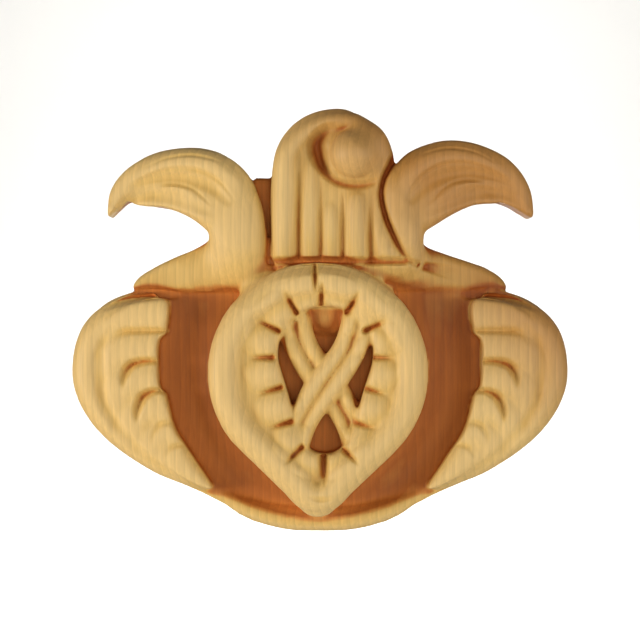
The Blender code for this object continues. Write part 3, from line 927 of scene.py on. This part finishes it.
def sanded_pine(colours):
    """Pine, carved and sanded, with no finish.

    The eye meets straw-coloured wood with a dull sheen where it stands out, with a painted highlight on open
    crests, and painted shade from honey to red-brown without sheen in the hollows, darker again by painted
    shade towards the upper right. Fine fibre lines and soft growth rings run up the board.
    """
    material = bpy.data.materials.new("sanded_pine")
    material.use_nodes = True
    tree = material.node_tree
    shader = tree.nodes["Principled BSDF"]
    place = add_node(tree, "ShaderNodeTexCoord", {}, {}).outputs["Object"]
    stretched = add_node(tree, "ShaderNodeMapping", {}, {"Vector": place, "Scale": (1.0, 1.0, 0.05)})
    fibres = add_node(tree, "ShaderNodeTexNoise", {}, {
        "Vector": stretched.outputs["Vector"], "Scale": 1.0 / (2 * colours.fibre), "Detail": 3.0,
        "Roughness": 0.6})
    trunk = add_node(tree, "ShaderNodeMapping", {}, {"Vector": place, "Location": (0.30, -0.10, 0.0)})
    rings = add_node(
        tree, "ShaderNodeTexWave", {"wave_type": "RINGS", "rings_direction": "Z", "wave_profile": "SAW"}, {
            "Vector": trunk.outputs["Vector"], "Scale": 2 * math.pi / 20 / colours.ring, "Distortion": 2.5,
            "Detail": 2.0, "Detail Scale": 0.12})
    # Painted light and shade: the hollow attribute picks a painted highlight on open crests and deeper
    # painted shade where a point is closed in
    hollow = add_node(tree, "ShaderNodeAttribute", {"attribute_name": "hollow"}, {})
    depth = add_node(tree, "ShaderNodeMapRange", {"clamp": True}, {
        "Value": hollow.outputs["Fac"], "From Min": 0.0, "From Max": HOLLOW_FULL})
    shade_ramp = add_node(tree, "ShaderNodeValToRGB", {}, {"Fac": depth.outputs["Result"]})
    ramp = shade_ramp.color_ramp
    ramp.elements[0].color = colours.crest_highlight
    ramp.elements[1].color = colours.deepest_shade
    for position, colour in (
            (0.10, colours.flat), (0.30, colours.shade_beside_rise), (0.46, colours.hollow), (0.62, colours.deep)):
        element = ramp.elements.new(position)
        element.color = colour
    ring_shade = add_node(tree, "ShaderNodeMapRange", {}, {
        "Value": rings.outputs["Fac"], "To Min": 1.03, "To Max": 0.90})
    fibre_shade = add_node(tree, "ShaderNodeMapRange", {}, {
        "Value": fibres.outputs["Fac"], "From Min": 0.3, "From Max": 0.7, "To Min": 0.90, "To Max": 1.06})
    shade = add_node(tree, "ShaderNodeMath", {"operation": "MULTIPLY"}, {
        0: ring_shade.outputs["Result"], 1: fibre_shade.outputs["Result"]})
    board = add_node(tree, "ShaderNodeSeparateXYZ", {}, {"Vector": place})
    # Painted shade: all colours are multiplied darker towards the upper right of the board
    towards_upper_right = add_node(tree, "ShaderNodeMath", {"operation": "MULTIPLY_ADD"}, {
        0: board.outputs["Z"], 1: UPPER_RIGHT_SHADE_Z_SHARE, 2: board.outputs["X"]})
    upper_right_shade = add_node(tree, "ShaderNodeMapRange", {"clamp": True}, {
        "Value": towards_upper_right.outputs["Value"], "From Min": UPPER_RIGHT_SHADE_FROM, "From Max": UPPER_RIGHT_SHADE_FULL})
    right_shaded = add_node(tree, "ShaderNodeMix", {"data_type": "RGBA", "blend_type": "MULTIPLY"}, {
        "Factor": upper_right_shade.outputs["Result"], 6: shade_ramp.outputs["Color"], 7: colours.upper_right_shade})
    wood = add_node(tree, "ShaderNodeVectorMath", {"operation": "SCALE"}, {
        0: right_shaded.outputs[2], "Scale": shade.outputs["Value"]})
    tree.links.new(wood.outputs["Vector"], shader.inputs["Base Color"])
    rough = add_node(tree, "ShaderNodeMapRange", {}, {
        "Value": fibres.outputs["Fac"], "To Min": 0.50, "To Max": 0.68})
    tree.links.new(rough.outputs["Result"], shader.inputs["Roughness"])
    sheen = add_node(tree, "ShaderNodeMapRange", {}, {
        "Value": depth.outputs["Result"], "To Min": 0.5, "To Max": 0.1})
    tree.links.new(sheen.outputs["Result"], shader.inputs["Specular IOR Level"])
    bump = add_node(tree, "ShaderNodeBump", {}, {
        "Height": fibres.outputs["Fac"], "Strength": 0.35, "Distance": 0.0001})
    tree.links.new(bump.outputs["Normal"], shader.inputs["Normal"])
    return material


class CARVING_OT_centrepiece(bpy.types.Operator):
    """Carve the centrepiece out of one block of pine"""

    bl_idname = "carving.centrepiece"
    bl_label = "Centrepiece"

    def execute(self, context):
        sizes = context.scene.carving_sizes
        bench = Bench(sizes)
        bench.cup()
        bench.scroll()
        bench.fruit()
        bench.lattice()
        for side in (-1, 1):
            bench.flank_leaf(side)
            bench.collar(side)
            bench.curling_leaf(side)
        block = bench.join()
        chisel = Chisel(block, bench.unit)
        carve_cup(chisel)
        carve_flank_leaves(chisel)
        carve_collar(chisel)
        carve_curling_leaves(chisel)
        carve_scroll(chisel)
        carve_fruit(chisel)
        chisel.fall(SIDE_FALL_FROM, SIDE_FALL_TO, SIDE_FALL, RUBBED_ABOVE)
        chisel.done()
        thin_out(block)
        flatten_back(block, sizes.width)
        check_closed(block)
        stand_up(block)
        paint_hollow_shade(block, bench.unit)
        bpy.ops.object.shade_smooth_by_angle(angle=math.radians(40))
        block.data.materials.clear()
        block.data.materials.append(sanded_pine(context.scene.pine_colours))
        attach(block, "root")
        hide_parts(NODE)
        return {"FINISHED"}


def stage_paint(colour):
    """Matt white emulsion, rolled on. It has no gloss, so no light leaves a bright patch on it."""
    material = bpy.data.materials.new("rolled_white_emulsion")
    material.use_nodes = True
    tree = material.node_tree
    shader = tree.nodes["Principled BSDF"]
    shader.inputs["Base Color"].default_value = colour
    shader.inputs["Roughness"].default_value = 0.9
    return material


def add_light(name, place, target, width, height, watts, colour):
    """A soft light, width across and height high, at place and facing target."""
    bpy.ops.object.select_all(action="DESELECT")
    bpy.ops.object.light_add(type="AREA", location=place)
    lamp = bpy.context.object
    lamp.name = name
    lamp.data.shape = "RECTANGLE"
    lamp.data.size = width
    lamp.data.size_y = height
    lamp.data.energy = watts
    lamp.data.color = hex_colour(colour)[:3]
    toward = [b - a for a, b in zip(place, target)]
    flat = math.hypot(toward[0], toward[1])
    tilt = math.pi / 2 + math.atan2(toward[2], flat)
    lamp.rotation_euler = (tilt, 0.0, math.atan2(-toward[0], toward[1]))


class CARVING_OT_stage(bpy.types.Operator):
    """Set out the pale floor and backdrop, the soft lights and the camera"""

    bl_idname = "carving.stage"
    bl_label = "Stage"

    def execute(self, context):
        studio = context.scene.studio_sizes
        deep = studio.sweep_front + studio.sweep_back
        bpy.ops.object.select_all(action="DESELECT")
        bpy.ops.mesh.primitive_plane_add(
            size=1.0, location=(0.0, (studio.sweep_back - studio.sweep_front) / 2, -studio.floor_drop))
        sweep = context.object
        sweep.name = "stage_sweep"
        sweep.scale = (studio.sweep_width, deep, 1.0)
        bpy.ops.object.transform_apply(location=True, rotation=True, scale=True)
        back_line = studio.sweep_back - 0.001
        for vertex in sweep.data.vertices:
            vertex.select = vertex.co.y > back_line
        for edge in sweep.data.edges:
            edge.select = all(sweep.data.vertices[i].select for i in edge.vertices)
        for face in sweep.data.polygons:
            face.select = False
        bpy.ops.object.mode_set(mode="EDIT")
        bpy.ops.mesh.extrude_region_move(TRANSFORM_OT_translate={"value": (0.0, 0.0, studio.sweep_height)})
        bpy.ops.object.mode_set(mode="OBJECT")
        if len(sweep.data.polygons) != 2:
            raise RuntimeError("The backdrop wasn't drawn up from the floor's back edge")
        fold = sweep.modifiers.new("fold", "BEVEL")
        fold.width = studio.sweep_curve
        fold.segments = 24
        fold.limit_method = "ANGLE"
        bpy.ops.object.modifier_apply(modifier="fold")
        bpy.ops.object.shade_smooth()
        sweep.data.materials.append(stage_paint(studio.emulsion))

        world = bpy.data.worlds.new("studio_air")
        world.use_nodes = True
        air = world.node_tree.nodes["Background"]
        air.inputs["Color"].default_value = hex_colour("FFFFFF")
        air.inputs["Strength"].default_value = AIR_STRENGTH
        context.scene.world = world

        for light in LIGHTS:
            add_light(*light)

        bpy.ops.object.select_all(action="DESELECT")
        bpy.ops.object.camera_add(
            location=(0.0, -studio.camera_distance, 0.0), rotation=(math.pi / 2, 0.0, 0.0))
        camera = context.object
        camera.name = "camera"
        camera.data.lens = studio.lens
        camera.data.sensor_width = SENSOR_WIDTH
        camera.data.clip_start = 0.01
        context.scene.camera = camera
        context.scene.view_settings.view_transform = "Standard"
        return {"FINISHED"}


class CARVING_PT_panel(bpy.types.Panel):
    """Lists the carving's sizes and what can be made"""

    bl_label = "Frieze Centrepiece"
    bl_idname = "CARVING_PT_panel"
    bl_space_type = "VIEW_3D"
    bl_region_type = "UI"
    bl_category = "Carving"

    def draw(self, context):
        scene = context.scene
        for group in (scene.carving_sizes, scene.pine_colours, scene.studio_sizes):
            column = self.layout.column()
            for name in group.__annotations__:
                column.prop(group, name)
        self.layout.operator(CARVING_OT_centrepiece.bl_idname)
        self.layout.operator(CARVING_OT_stage.bl_idname)


CLASSES = (
    CarvingSizes, PineColoursAndShade, StudioSizes, CARVING_OT_centrepiece, CARVING_OT_stage, CARVING_PT_panel,
)


def register():
    for cls in CLASSES:
        bpy.utils.register_class(cls)
    bpy.types.Scene.carving_sizes = PointerProperty(type=CarvingSizes)
    bpy.types.Scene.pine_colours = PointerProperty(type=PineColoursAndShade)
    bpy.types.Scene.studio_sizes = PointerProperty(type=StudioSizes)


def unregister():
    del bpy.types.Scene.studio_sizes
    del bpy.types.Scene.pine_colours
    del bpy.types.Scene.carving_sizes
    for cls in reversed(CLASSES):
        bpy.utils.unregister_class(cls)


def main():
    register()
    bpy.ops.carving.centrepiece()
    bpy.ops.carving.stage()


if __name__ == "__main__":
    main()
